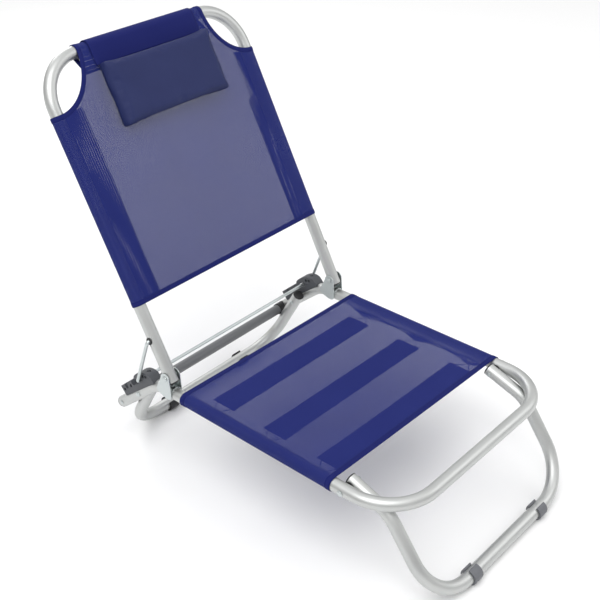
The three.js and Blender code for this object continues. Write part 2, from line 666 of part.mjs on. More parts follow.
bothSides((side, label) => {
    const x = side * HALF_SPAN;
    const legX = side * LEG_X;
    add(`notch_rack_${label}`, rack(side, saddle), 'plastic');
    screwSpots.forEach((along, i) => add(`rack_screw_${label}_${i + 1}`, rackScrew(side, along), 'steel'));
    add(`back_bracket_${label}`, bracket(side), 'steel');
    add(`bracket_rivet_${label}`, bracketRivet(side), 'steel');
    add(`back_hinge_pin_${label}`, hingePin(side), 'steel');
    add(`wire_grommet_${label}`, grommet(side), 'black');
    add(`front_leg_rivet_${label}`, legRivet(side, frontPivot), 'steel');
    add(`front_leg_washer_${label}`, washer(side, frontPivot), 'black');
    add(`rear_leg_rivet_${label}`, legRivet(side, rearPivot), 'steel');
    add(`rear_leg_washer_${label}`, washer(side, rearPivot), 'black');
    plug(vec(x, onTail(TAIL_LENGTH)), tailEnd, 'black', `seat_frame_plug_${label}`);
    plug(vec(side * backX(-BACK_TAIL), onBack(-BACK_TAIL)), backEnd, 'black', `backrest_plug_${label}`);
    plug(vec(legX, frontEnd), away(FRONT_KNEE, frontPivot), 'black', `front_leg_plug_${label}`);
    plug(vec(legX, rearEnd), away(rearBar, rearPivot), 'black', `rear_leg_plug_${label}`);
    const [x0, x1] = side > 0 ? [98, 122] : [-122, -98];
    add(`front_foot_${label}`, footClip(FRONT_BAR_Y, x0, x1, 42, side < 0 ? 88 : 112), 'plastic');
    add(`rear_foot_${label}`, footClip(REAR_BAR_Y, x0, x1, 44, 142), 'black');
});

add('prop_wire', tube(bailRoute(), WIRE_R, 0, 12), 'steel');
add('seat_sling', seatSling(), 'mesh');
['rear', 'middle', 'front'].forEach((place, i) => add(`seat_strap_${place}`, seatStrap(STRAPS[i]), 'webbing'));
add('back_sling', backSling(), 'mesh');
add('pillow_loop', pillowLoop(), 'webbing');
add('pillow', pillowBody(), 'pillow');

// The origin is the bottom centre of the finished chair.
const bounds = new THREE.Box3().setFromObject(chair);
for (const mesh of chair.children) {
    mesh.geometry.translate(0, -(bounds.min.y + bounds.max.y) / 2, 0);
}

export default chair;
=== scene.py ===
"""A low folding beach chair: bent aluminium tubes, mesh slings, a wire bail in toothed racks and a pillow."""

import json
import math

import bmesh
import bpy
from mathutils import Matrix, Quaternion, Vector, noise


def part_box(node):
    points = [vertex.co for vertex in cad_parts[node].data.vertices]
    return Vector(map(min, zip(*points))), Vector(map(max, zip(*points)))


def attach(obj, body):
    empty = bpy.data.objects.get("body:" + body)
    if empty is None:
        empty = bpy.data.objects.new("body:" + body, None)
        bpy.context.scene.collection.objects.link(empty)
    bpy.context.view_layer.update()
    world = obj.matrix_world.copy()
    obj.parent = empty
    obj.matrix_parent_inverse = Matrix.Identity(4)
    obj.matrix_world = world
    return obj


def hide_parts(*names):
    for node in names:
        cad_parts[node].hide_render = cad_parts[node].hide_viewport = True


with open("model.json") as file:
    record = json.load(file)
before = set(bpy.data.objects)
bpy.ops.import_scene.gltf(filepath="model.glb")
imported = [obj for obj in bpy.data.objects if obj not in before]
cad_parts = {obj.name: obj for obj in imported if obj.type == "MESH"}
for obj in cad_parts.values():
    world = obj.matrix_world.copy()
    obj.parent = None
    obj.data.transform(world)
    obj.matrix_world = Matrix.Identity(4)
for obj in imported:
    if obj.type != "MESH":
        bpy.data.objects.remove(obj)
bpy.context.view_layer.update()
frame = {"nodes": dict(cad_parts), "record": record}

MM = 0.001
JOINTS = {joint["name"]: joint for joint in frame["record"]["behaviour"]["joints"]}
HINGE = Vector(JOINTS["back_hinge"]["pos_m"])
SHIFT = HINGE.y                          # the chair is laid out from its backrest hinge

# ---------- Dimensions, in metres ----------

TUBE_R = 0.0125
HALF_SPAN = 0.244
SEAT_Z = 0.200
SEAT_SLOPE = math.radians(0.6)
SEAT_FRONT = 0.5505
TAIL_Y = 0.0366
TAIL_ANGLE = math.radians(39.5)
TAIL_LENGTH = 0.1558
LEAN = math.radians(27.64)
BACK_LENGTH = 0.6296
BACK_FLARE = 0.0048
BACK_TAIL = 0.0115
LEG_X = HALF_SPAN - 2 * TUBE_R - 0.002
FRONT_KNEE = (-0.5098, 0.1685)
FRONT_BAR = (-0.6194, 0.0159)
REAR_BAR = (0.1711, 0.0159)
FRONT_STUB = 0.008                       # tube behind the front leg's rivet
REAR_STUB = 0.020
WIRE_HOLE_UP = 0.080                     # up the backrest tube, from its hinge
WIRE_REST = (0.0805, 0.1945)             # the notch that the bail rests in
WIRE_SIDE = HALF_SPAN + 0.018
GAP = 0.0003
WIRE_R = 0.0035
CLOTH_R = 0.0135                         # middle of the cloth round a tube
CLOTH_SKEW = -0.024
SEAT_CLOTH = (-0.043, -0.417)
BACK_CLOTH_LOW = 0.151
BACK_CLOTH_SHOULDER = 0.530
BACK_CLOTH_TOP_HALF = 0.161
STRAPS = (-0.103, -0.236, -0.367)
STRAP_HALF = 0.028
STRAP_END = 0.201

TAIL_DOWN = Vector((0, math.cos(TAIL_ANGLE), -math.sin(TAIL_ANGLE)))
TAIL_UP = Vector((0, math.sin(TAIL_ANGLE), math.cos(TAIL_ANGLE)))
BACK_UP = Vector((0, math.sin(LEAN), math.cos(LEAN)))
BACK_OUT = Vector((0, -math.cos(LEAN), math.sin(LEAN)))


def at(x, y, z):
    """A point laid out from the hinge, in the row frame."""
    return Vector((x, y + SHIFT, z))


def on_seat(x, y, rise=0.0):
    return at(x, y, SEAT_Z + y * math.tan(SEAT_SLOPE) + rise)


def on_tail(x, along, above=0.0):
    return on_seat(x, TAIL_Y) + along * TAIL_DOWN + above * TAIL_UP


def on_back(x, up, out=0.0):
    return Vector((x, HINGE.y, HINGE.z)) + up * BACK_UP + out * BACK_OUT


def back_x(up):
    return HALF_SPAN + BACK_FLARE * up / BACK_LENGTH


# ---------- Camera, floor and light ----------


def set_stage():
    scene = bpy.context.scene
    camera = bpy.data.objects.new("camera", bpy.data.cameras.new("camera"))
    camera.data.sensor_width = 36
    camera.data.lens = 64.66
    camera.location = at(-1.3365, -1.3254, 1.4363)
    camera.rotation_mode = "QUATERNION"
    aim = Vector((0.63416, 0.57213, -0.52011)).to_track_quat("-Z", "Y")
    camera.rotation_quaternion = aim @ Quaternion((0, 0, 1), math.radians(-1.067))
    scene.collection.objects.link(camera)
    scene.camera = camera
    scene.view_settings.view_transform = "Standard"

    floor = new_piece("floor", grid_mesh(1, 1, lambda i, j: Vector((24 * i - 12, 24 * j - 12, 0))))
    floor.data.materials.append(floor_material())

    world = bpy.data.worlds.new("studio")
    world.use_nodes = True
    tree = world.node_tree
    split = tree.nodes.new("ShaderNodeSeparateXYZ")
    tree.links.new(tree.nodes.new("ShaderNodeTexCoord").outputs["Generated"], split.inputs[0])
    sky = map_range(tree, split.outputs["Z"], 0.0, 0.7, 0.38, 1.0)
    tree.links.new(sky, tree.nodes["Background"].inputs["Strength"])
    tree.nodes["Background"].inputs["Color"].default_value = (1, 1, 1, 1)
    scene.world = world

    add_area("key", (-1.6, -0.6, 3.0), (0, 0, 0.3), 2.6, 46)
    add_area("fill", (2.2, -1.8, 1.9), (0, 0, 0.3), 2.2, 14)
    add_area("back_rim", (0.8, 2.6, 2.2), (0, 0, 0.4), 2.0, 20)


def add_area(name, place, target, size, power):
    data = bpy.data.lights.new(name, "AREA")
    data.shape = "DISK"
    data.size = size
    data.energy = power
    lamp = bpy.data.objects.new(name, data)
    lamp.location = place
    lamp.rotation_mode = "QUATERNION"
    lamp.rotation_quaternion = (Vector(target) - Vector(place)).to_track_quat("-Z", "Y")
    bpy.context.scene.collection.objects.link(lamp)


# ---------- Making pieces ----------


def new_piece(name, bm, smooth_angle=35):
    """Turns a bmesh into a smooth-shaded object at the origin."""
    mesh = bpy.data.meshes.new(name)
    bm.to_mesh(mesh)
    bm.free()
    mesh.shade_smooth()
    mesh.set_sharp_from_angle(angle=math.radians(smooth_angle))
    obj = bpy.data.objects.new(name, mesh)
    bpy.context.scene.collection.objects.link(obj)
    return obj


def fit(obj, material, body, slot, *nodes):
    """Gives a piece its finish and its body, and hides the CAD nodes that it stands for. The slot is not
    used.
    """
    obj.data.materials.clear()
    obj.data.materials.append(material)
    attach(obj, body)
    if nodes:
        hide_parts(*nodes)
    return obj


def soften(obj, width=0.0004, segments=2, angle=35):
    bevel = obj.modifiers.new("soft edges", "BEVEL")
    bevel.width = width
    bevel.segments = segments
    bevel.limit_method = "ANGLE"
    bevel.angle_limit = math.radians(angle)
    bevel.harden_normals = True
    return obj


def grid_mesh(columns, rows, place, uv=None, bm=None):
    """A grid whose every corner is put where place(i, j) says, i and j running from 0 to 1."""
    bm = bm or bmesh.new()
    made = bmesh.ops.create_grid(bm, x_segments=columns, y_segments=rows, size=0.5)["verts"]
    layer = bm.loops.layers.uv.verify()
    spots = {vert: (vert.co.x + 0.5, vert.co.y + 0.5) for vert in made}
    if uv:
        for face in {face for vert in made for face in vert.link_faces}:
            for loop in face.loops:
                loop[layer].uv = uv(*spots[loop.vert])
    for vert, (i, j) in spots.items():
        vert.co = place(i, j)
    return bm


def bent_tube(corners, radii, radius, sides=36, bend_steps=14, wall=None):
    """A round tube or rod along straight runs and round bends."""
    bm = bmesh.new()
    heading = (corners[1] - corners[0]).normalized()
    place = Matrix.Translation(corners[0]) @ heading.to_track_quat("Z", "X").to_matrix().to_4x4()
    bmesh.ops.create_circle(bm, radius=radius, segments=sides, matrix=place)
    ring = list(bm.edges)
    if wall is None:
        bmesh.ops.contextual_create(bm, geom=ring)
    point = corners[0]
    for index in range(1, len(corners)):
        last = index == len(corners) - 1
        stop = corners[index]
        if not last:
            turn_to = (corners[index + 1] - corners[index]).normalized()
            turn = heading.angle(turn_to)
            stop = corners[index] - heading * radii[index - 1] * math.tan(turn / 2)
        grown = bmesh.ops.extrude_edge_only(bm, edges=ring)["geom"]
        moved = [g for g in grown if isinstance(g, bmesh.types.BMVert)]
        bmesh.ops.translate(bm, vec=stop - point, verts=moved)
        ring = [g for g in grown if isinstance(g, bmesh.types.BMEdge)]
        if last:
            break
        axis = heading.cross(turn_to).normalized()
        centre = stop + axis.cross(heading) * radii[index - 1]
        verts = list({vert for edge in ring for vert in edge.verts})
        steps = max(3, round(bend_steps * turn / (math.pi / 2)))
        swept = bmesh.ops.spin(bm, geom=verts + ring, cent=centre, axis=axis, angle=turn, steps=steps)
        ring = [g for g in swept["geom_last"] if isinstance(g, bmesh.types.BMEdge)]
        point = corners[index] + turn_to * radii[index - 1] * math.tan(turn / 2)
        heading = turn_to
    if wall is None:
        bmesh.ops.contextual_create(bm, geom=ring)
    bmesh.ops.remove_doubles(bm, verts=bm.verts, dist=1e-7)
    bmesh.ops.recalc_face_normals(bm, faces=bm.faces)
    if wall is not None:
        bmesh.ops.solidify(bm, geom=bm.faces, thickness=wall)
        bmesh.ops.recalc_face_normals(bm, faces=bm.faces)
    return bm


def turned(profile, place, direction, sides=32, bm=None):
    """A lathe-turned piece: pairs of radius and distance along its axis."""
    bm = bm or bmesh.new()
    direction = Vector(direction).normalized()
    across = direction.orthogonal().normalized()
    verts = [bm.verts.new(place + across * radius + direction * along) for radius, along in profile]
    edges = [bm.edges.new(pair) for pair in zip(verts, verts[1:])]
    bmesh.ops.spin(bm, geom=verts + edges, cent=place, axis=direction, angle=2 * math.pi, steps=sides,
                   use_merge=True)
    bmesh.ops.remove_doubles(bm, verts=bm.verts, dist=1e-6)
    bmesh.ops.recalc_face_normals(bm, faces=bm.faces)
    return bm


def side_plate(outline, x0, x1):
    """A plate cut to an outline of (y, z) points and running across the chair."""
    bm = bmesh.new()
    face = bm.faces.new([bm.verts.new(at(x0, y, z)) for y, z in outline])
    grown = bmesh.ops.extrude_face_region(bm, geom=[face])["geom"]
    far_side = [g for g in grown if isinstance(g, bmesh.types.BMVert)]
    bmesh.ops.translate(bm, vec=(x1 - x0, 0, 0), verts=far_side)
    bmesh.ops.recalc_face_normals(bm, faces=bm.faces)
    return bm


def rounded_copy(node, width=0.0006, segments=3):
    """The CAD node's own shape, merged and with its edges rounded."""
    bm = bmesh.new()
    bm.from_mesh(frame["nodes"][node].data)
    bmesh.ops.remove_doubles(bm, verts=bm.verts, dist=1e-6)
    bmesh.ops.dissolve_limit(bm, angle_limit=math.radians(1), verts=bm.verts, edges=bm.edges)
    return soften(new_piece(node + "_rounded", bm, 25), width, segments, 28)


# ---------- Finishes ----------


def group_sockets(group, inputs, outputs):
    for name, kind, value in inputs:
        socket = group.interface.new_socket(name, in_out="INPUT", socket_type=kind)
        if value is not None:
            socket.default_value = value
    for name, kind in outputs:
        group.interface.new_socket(name, in_out="OUTPUT", socket_type=kind)
    return group.nodes.new("NodeGroupInput"), group.nodes.new("NodeGroupOutput")


def math_node(tree, operation, first, second=None, clamp=False):
    node = tree.nodes.new("ShaderNodeMath")
    node.operation = operation
    node.use_clamp = clamp
    for socket, value in zip(node.inputs, (first, second)):
        if value is None:
            continue
        if isinstance(value, (int, float)):
            socket.default_value = value
        else:
            tree.links.new(value, socket)
    return node.outputs[0]


def noise_node(tree, vector, scale, detail=3.0, roughness=0.55):
    node = tree.nodes.new("ShaderNodeTexNoise")
    node.inputs["Scale"].default_value = scale
    node.inputs["Detail"].default_value = detail
    node.inputs["Roughness"].default_value = roughness
    tree.links.new(vector, node.inputs["Vector"])
    return node.outputs["Fac"]


def map_range(tree, value, low, high, to_low, to_high):
    node = tree.nodes.new("ShaderNodeMapRange")
    for name, number in (("From Min", low), ("From Max", high), ("To Min", to_low), ("To Max", to_high)):
        node.inputs[name].default_value = number
    tree.links.new(value, node.inputs["Value"])
    return node.outputs["Result"]


def weave_group():
    """An open plain weave: threads both ways with small square holes between them."""
    group = bpy.data.node_groups.new("open mesh weave", "ShaderNodeTree")
    source, sink = group_sockets(
        group,
        [("Vector", "NodeSocketVector", None), ("Pitch", "NodeSocketFloat", 0.0016),
         ("Hole Start", "NodeSocketFloat", 0.76)],
        [("Hole", "NodeSocketFloat"), ("Height", "NodeSocketFloat"), ("Thread", "NodeSocketFloat")])
    split = group.nodes.new("ShaderNodeSeparateXYZ")
    group.links.new(source.outputs["Vector"], split.inputs[0])
    waves = []
    for axis in "XY":
        turns = math_node(group, "DIVIDE", split.outputs[axis], source.outputs["Pitch"])
        wave = math_node(group, "SINE", math_node(group, "MULTIPLY", turns, math.pi))
        waves.append(math_node(group, "ABSOLUTE", wave))
    both = math_node(group, "MULTIPLY", waves[0], waves[1])
    above = math_node(group, "SUBTRACT", both, source.outputs["Hole Start"])
    group.links.new(math_node(group, "MULTIPLY", above, 9.0, clamp=True), sink.inputs["Hole"])
    group.links.new(math_node(group, "SUBTRACT", 1.0, both), sink.inputs["Height"])
    group.links.new(math_node(group, "SUBTRACT", waves[0], waves[1]), sink.inputs["Thread"])
    return group


def wear_group():
    """Handling marks: broad cloudy patches with a fine grain."""
    group = bpy.data.node_groups.new("handling marks", "ShaderNodeTree")
    source, sink = group_sockets(
        group,
        [("Vector", "NodeSocketVector", None), ("Cloud Scale", "NodeSocketFloat", 14.0),
         ("Grain Scale", "NodeSocketFloat", 420.0)],
        [("Cloud", "NodeSocketFloat"), ("Grain", "NodeSocketFloat")])
    for name, output in (("Cloud Scale", "Cloud"), ("Grain Scale", "Grain")):
        texture = group.nodes.new("ShaderNodeTexNoise")
        texture.inputs["Detail"].default_value = 4
        group.links.new(source.outputs["Vector"], texture.inputs["Vector"])
        group.links.new(source.outputs[name], texture.inputs["Scale"])
        group.links.new(texture.outputs["Fac"], sink.inputs[output])
    return group


def place_group(tree, group, vector, **values):
    node = tree.nodes.new("ShaderNodeGroup")
    node.node_tree = group
    tree.links.new(vector, node.inputs["Vector"])
    for name, value in values.items():
        node.inputs[name.replace("_", " ")].default_value = value
    return node


def start_material(name):
    material = bpy.data.materials.new(name)
    material.use_nodes = True
    tree = material.node_tree
    shader = tree.nodes["Principled BSDF"]
    spot = tree.nodes.new("ShaderNodeTexCoord")
    return material, tree, shader, spot


def shade_between(tree, shader, mask, dark, light):
    """Varies the base colour between two close colours."""
    mix = tree.nodes.new("ShaderNodeMix")
    mix.data_type = "RGBA"
    mix.inputs[6].default_value = (*dark, 1)
    mix.inputs[7].default_value = (*light, 1)
    tree.links.new(mask, mix.inputs[0])
    tree.links.new(mix.outputs[2], shader.inputs["Base Color"])


def bump_from(tree, shader, height, distance, strength=1.0):
    bump = tree.nodes.new("ShaderNodeBump")
    bump.inputs["Distance"].default_value = distance
    bump.inputs["Strength"].default_value = strength
    tree.links.new(height, bump.inputs["Height"])
    tree.links.new(bump.outputs["Normal"], shader.inputs["Normal"])


def hard_material(name, dark, light, rough, metallic=0.0, cloud=14.0, grain=420.0, depth=0.00002, coat=0.0):
    """Metal or moulded plastic with faint cloudy variation and a fine grain."""
    material, tree, shader, spot = start_material(name)
    marks = place_group(tree, WEAR, spot.outputs["Object"], Cloud_Scale=cloud, Grain_Scale=grain)
    shade_between(tree, shader, marks.outputs["Cloud"], dark, light)
    tree.links.new(map_range(tree, marks.outputs["Cloud"], 0.3, 0.7, rough[0], rough[1]),
                   shader.inputs["Roughness"])
    bump_from(tree, shader, marks.outputs["Grain"], depth)
    shader.inputs["Metallic"].default_value = metallic
    shader.inputs["Coat Weight"].default_value = coat
    return material


def floor_material():
    material, _, shader, _ = start_material("pale floor")
    shader.inputs["Base Color"].default_value = (0.93, 0.93, 0.93, 1)
    shader.inputs["Roughness"].default_value = 0.9
    shader.inputs["Specular IOR Level"].default_value = 0.1
    return material


def cloth_material(name, dark, light, pitch, hole_start, depth, rough=0.8, specular=0.2):
    """Plastic-coated mesh cloth, woven along the piece's own UV map."""
    material, tree, shader, spot = start_material(name)
    weave = place_group(tree, WEAVE, spot.outputs["UV"], Pitch=pitch, Hole_Start=hole_start)
    cloud = noise_node(tree, spot.outputs["Object"], 9.0)
    threads = math_node(tree, "MULTIPLY", weave.outputs["Thread"], 0.35)
    shade_between(tree, shader, math_node(tree, "ADD", cloud, threads, clamp=True), dark, light)
    bump_from(tree, shader, weave.outputs["Height"], depth)
    if hole_start < 1:
        tree.links.new(math_node(tree, "SUBTRACT", 1.0, weave.outputs["Hole"]), shader.inputs["Alpha"])
    shader.inputs["Roughness"].default_value = rough
    shader.inputs["Specular IOR Level"].default_value = specular
    return material


def pillow_material():
    """Close-woven polyester: a fine weave and slightly uneven dye."""
    material, tree, shader, spot = start_material("pillow polyester")
    cloud = noise_node(tree, spot.outputs["Object"], 22.0)
    shade_between(tree, shader, cloud, (0.012, 0.018, 0.080), (0.017, 0.025, 0.098))
    fine = place_group(tree, WEAVE, spot.outputs["Object"], Pitch=0.0006, Hole_Start=1.0)
    bump_from(tree, shader, fine.outputs["Height"], 0.00005)
    shader.inputs["Roughness"].default_value = 0.6
    shader.inputs["Specular IOR Level"].default_value = 0.25
    return material


WEAVE = weave_group()
WEAR = wear_group()
set_stage()

ALUMINIUM = hard_material("satin aluminium", (0.50, 0.51, 0.505), (0.60, 0.61, 0.60), (0.40, 0.50), 1.0)
ZINC = hard_material("zinc plated steel", (0.48, 0.52, 0.52), (0.62, 0.66, 0.66), (0.28, 0.45), 1.0, 40)
GREY_COAT = hard_material("dark grey coat", (0.125, 0.130, 0.136), (0.160, 0.165, 0.172), (0.35, 0.5),
                          coat=0.15)
RACK_PLASTIC = hard_material("grey moulded plastic", (0.052, 0.056, 0.064), (0.070, 0.075, 0.086),
                             (0.45, 0.6), 0.0, 30, 900, 0.00005)
FOOT_PLASTIC = hard_material("grey foot plastic", (0.120, 0.125, 0.138), (0.150, 0.155, 0.170),
                             (0.5, 0.65), 0.0, 30, 900, 0.00005)
BLACK_PLASTIC = hard_material("black moulded plastic", (0.012, 0.012, 0.013), (0.022, 0.022, 0.024),
                              (0.45, 0.62), 0.0, 30, 900, 0.00005)
MESH = cloth_material("navy mesh", (0.010, 0.017, 0.138), (0.016, 0.025, 0.168), 0.0016, 0.81, 0.00035)
BINDING = cloth_material("navy binding", (0.005, 0.009, 0.098), (0.009, 0.014, 0.122), 0.0009, 1.0,
                         0.00012)
THREAD = cloth_material("sewing thread", (0.010, 0.014, 0.060), (0.020, 0.026, 0.090), 0.0004, 1.0,
                        0.00004)
PILLOW_CLOTH = pillow_material()


# ---------- Frame tubes and wire ----------


def seat_tube_route():
    front = -SEAT_FRONT
    return [on_tail(-HALF_SPAN, TAIL_LENGTH), on_seat(-HALF_SPAN, TAIL_Y), on_seat(-HALF_SPAN, front),
            on_seat(HALF_SPAN, front), on_seat(HALF_SPAN, TAIL_Y), on_tail(HALF_SPAN, TAIL_LENGTH)]


def beyond(start, stop, extra):
    return stop + (stop - start).normalized() * extra


def front_leg_route():
    sides = []
    for x in (-LEG_X, LEG_X):
        knee = at(x, *FRONT_KNEE)
        sides.append([beyond(knee, FRONT_PIVOT + Vector((x, 0, 0)), FRONT_STUB), knee, at(x, *FRONT_BAR)])
    return sides[0] + sides[1][::-1]


def rear_leg_route():
    sides = []
    for x in (-LEG_X, LEG_X):
        bar = at(x, *REAR_BAR)
        sides.append([beyond(bar, REAR_PIVOT + Vector((x, 0, 0)), REAR_STUB), bar])
    return sides[0] + sides[1][::-1]


def bail_route():
    pin = Vector((back_x(WIRE_HOLE_UP) - 0.008, 0, 0))
    side = Vector((WIRE_SIDE, 0, 0))
    hole = on_back(0, WIRE_HOLE_UP)
    return [hole - pin, hole - side, at(-WIRE_SIDE, *WIRE_REST),
            at(WIRE_SIDE, *WIRE_REST), hole + side, hole + pin]


FRONT_PIVOT = Vector(JOINTS["front_leg_fold"]["pos_m"])
REAR_PIVOT = Vector(JOINTS["rear_leg_fold"]["pos_m"])
BACK_CORNERS = [on_back(-back_x(-BACK_TAIL), -BACK_TAIL), on_back(-back_x(BACK_LENGTH), BACK_LENGTH),
                on_back(back_x(BACK_LENGTH), BACK_LENGTH), on_back(back_x(-BACK_TAIL), -BACK_TAIL)]

for name, route, radii, body in (
        ("seat_frame_tube", seat_tube_route(), (0.070, 0.098, 0.098, 0.070), "seat_frame"),
        ("backrest_tube", BACK_CORNERS, (0.089, 0.089), "backrest"),
        ("front_leg_tube", front_leg_route(), (0.060, 0.0886, 0.0886, 0.060), "front_leg"),
        ("rear_leg_tube", rear_leg_route(), (0.073, 0.073), "rear_leg")):
    drawn = new_piece(name + "_drawn", bent_tube(route, radii, TUBE_R, 40, 16, 0.0014))
    fit(drawn, ALUMINIUM, body, "aluminium", name)

bail = new_piece("bail_wire", bent_tube(bail_route(), (0.0055,) * 4, WIRE_R, 20, 8))
fit(bail, ZINC, "prop_wire", "zinc_steel", "prop_wire")

# ---------- Rivets, screws, washers, plugs and feet ----------

ALONG_X = Vector((1, 0, 0))
SIDES = ((1, "left"), (-1, "right"))


def scaled(profile):
    return [(radius * MM, along * MM) for radius, along in profile]


def turned_piece(node, profile, place, direction, material, body, slot, sides=32):
    obj = new_piece(node + "_turned", turned(scaled(profile), place, direction, sides))
    return fit(soften(obj, 0.00025), material, body, slot, node)


def domed_head(radius, height):
    """Half an oval, from the tip down to the rim, below the piece's zero."""
    return [(radius * math.sin(a), -height * math.cos(a)) for a in (i * math.pi / 12 for i in range(7))]


def leg_rivet(side, label, which, pivot):
    reach = (HALF_SPAN - LEG_X + 2 * TUBE_R + 2 * GAP) / MM
    profile = domed_head(6, 2.6) + [(3, 0), (3, reach), (5, reach), (4.6, reach + 1.2), (3.4, reach + 1.9),
                                    (0, reach + 2)]
    place = pivot + side * ALONG_X * (HALF_SPAN + TUBE_R + GAP)
    turned_piece(f"{which}_leg_rivet_{label}", profile, place, -side * ALONG_X, ZINC, "seat_frame",
                 "zinc_steel")


def leg_washer(side, label, which, pivot):
    inner = LEG_X + TUBE_R + GAP
    profile = [(3.3, 0), (8, 0), (8, 1.4), (3.3, 1.4), (3.3, 0)]
    turned_piece(f"{which}_leg_washer_{label}", profile, pivot + side * ALONG_X * inner, side * ALONG_X,
                 BLACK_PLASTIC, "seat_frame", "black_plastic")


def tube_plug(node, end, out, body):
    profile = [(0, -4), (10.2, -4), (10.2, 0.3), (12.5, 0.3), (12.5, 1.4), (11.6, 2.4), (9.5, 3.3),
               (5.5, 3.9), (0, 4)]
    turned_piece(node, profile, end, out, BLACK_PLASTIC, body, "black_plastic", 40)


def arc(radius, start, stop, steps):
    return [(radius * math.cos(a), radius * math.sin(a))
            for a in (start + (stop - start) * i / steps for i in range(steps + 1))]


def foot_clip(node, bar, side, mouth, material, body, slot):
    """A C-shaped clip with a flat underside. Its mouth is two angles, from the rear upwards."""
    flat = math.asin(15.9 / 16.6)
    start, stop = (math.radians(angle) for angle in mouth)
    outline = arc(0.0166, start, -flat, 16) + arc(0.0166, -math.pi + flat, stop - 2 * math.pi, 20)
    outline += arc(0.0128, stop, 2 * math.pi + start, 40)
    x0, x1 = (0.098, 0.122) if side > 0 else (-0.122, -0.098)
    bm = side_plate([(bar[0] + y, bar[1] + z) for y, z in outline], x0, x1)
    fit(soften(new_piece(node + "_moulded", bm, 30), 0.0007, 3), material, body, slot, node)


for side, label in SIDES:
    for which, pivot in (("front", FRONT_PIVOT), ("rear", REAR_PIVOT)):
        leg_rivet(side, label, which, pivot)
        leg_washer(side, label, which, pivot)
    pin = domed_head(6.4, 2.6) + [(4, 0), (4, 29.8), (5.6, 29.8), (5.2, 31.0), (3.6, 31.7), (0, 31.8)]
    turned_piece(f"back_hinge_pin_{label}", pin, HINGE + side * ALONG_X * (HALF_SPAN + 0.0149),
                 -side * ALONG_X, ZINC, "seat_frame", "zinc_steel")
    rivet = [(0, -9), (2.4, -9), (2.4, 0), (4.5, 0), (4.1, 0.9), (2.8, 1.6), (0, 1.9)]
    turned_piece(f"bracket_rivet_{label}", rivet, on_seat(side * HALF_SPAN, -0.002, 0.0147), (0, 0, 1),
                 ZINC, "seat_frame", "zinc_steel", 24)
    for number, along in enumerate((0.010, 0.0795), 1):
        screw = [(0, -20), (1.8, -20), (1.8, 0), (3.7, 0), (3.6, 1.2), (2.7, 2.0), (1.5, 2.3),
                 (1.1, 1.2), (0, 1.2)]
        turned_piece(f"rack_screw_{label}_{number}", screw, on_tail(side * HALF_SPAN, along, 0.024),
                     TAIL_UP, ZINC, "seat_frame", "zinc_steel", 24)
    low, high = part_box(f"cross_tube_screw_{label}")
    centre = (low + high) / 2
    screw = [(0, -2), (1.6, -1.95), (3.3, -1.4), (4.6, 0), (2.5, 0), (2.5, 32), (0, 34)]
    turned_piece(f"cross_tube_screw_{label}", screw,
                 Vector((side * (HALF_SPAN + TUBE_R + GAP), centre.y, centre.z)), -side * ALONG_X,
                 ZINC, "seat_frame", "zinc_steel", 24)
    ring = [(4.6, -3), (5.2, -3), (5.2, 0.3), (7.5, 0.3), (7.3, 0.8), (6.6, 1), (4.6, 1), (4.6, -3)]
    turned_piece(f"wire_grommet_{label}", ring, on_back(side * (back_x(WIRE_HOLE_UP) + TUBE_R), WIRE_HOLE_UP),
                 side * ALONG_X, BLACK_PLASTIC, "backrest", "black_plastic")
    tube_plug(f"seat_frame_plug_{label}", on_tail(side * HALF_SPAN, TAIL_LENGTH), TAIL_DOWN, "seat_frame")
    tube_plug(f"backrest_plug_{label}", on_back(side * back_x(-BACK_TAIL), -BACK_TAIL), -BACK_UP, "backrest")
    knee = at(side * LEG_X, *FRONT_KNEE)
    top = FRONT_PIVOT + Vector((side * LEG_X, 0, 0))
    tube_plug(f"front_leg_plug_{label}", beyond(knee, top, FRONT_STUB), top - knee, "front_leg")
    bar = at(side * LEG_X, *REAR_BAR)
    top = REAR_PIVOT + Vector((side * LEG_X, 0, 0))
    tube_plug(f"rear_leg_plug_{label}", beyond(bar, top, REAR_STUB), top - bar, "rear_leg")
    foot_clip(f"front_foot_{label}", FRONT_BAR, side, (42, 88 if side < 0 else 112), FOOT_PLASTIC,
              "front_leg", "grey_plastic")
    foot_clip(f"rear_foot_{label}", REAR_BAR, side, (44, 142), BLACK_PLASTIC, "rear_leg", "black_plastic")
    for node, material, slot, width in (
            (f"notch_rack_{label}", RACK_PLASTIC, "grey_plastic", 0.0007),
            (f"back_bracket_{label}", ZINC, "zinc_steel", 0.0003),
            (f"cross_tube_cap_{label}", BLACK_PLASTIC, "black_plastic", 0.0008)):
        fit(rounded_copy(node, width), material, "seat_frame", slot, node)

low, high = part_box("cross_tube")
axle = Vector((0, (low.y + high.y) / 2, (low.z + high.z) / 2))
pipe = [(9.5, -228), (11, -228), (11, 228), (9.5, 228), (9.5, -228)]
turned_piece("cross_tube", pipe, axle, ALONG_X, GREY_COAT, "seat_frame", "painted_tube", 40)


# ---------- Slings ----------


def smooth_step(x):
    x = min(1.0, max(0.0, x))
    return x * x * (3 - 2 * x)


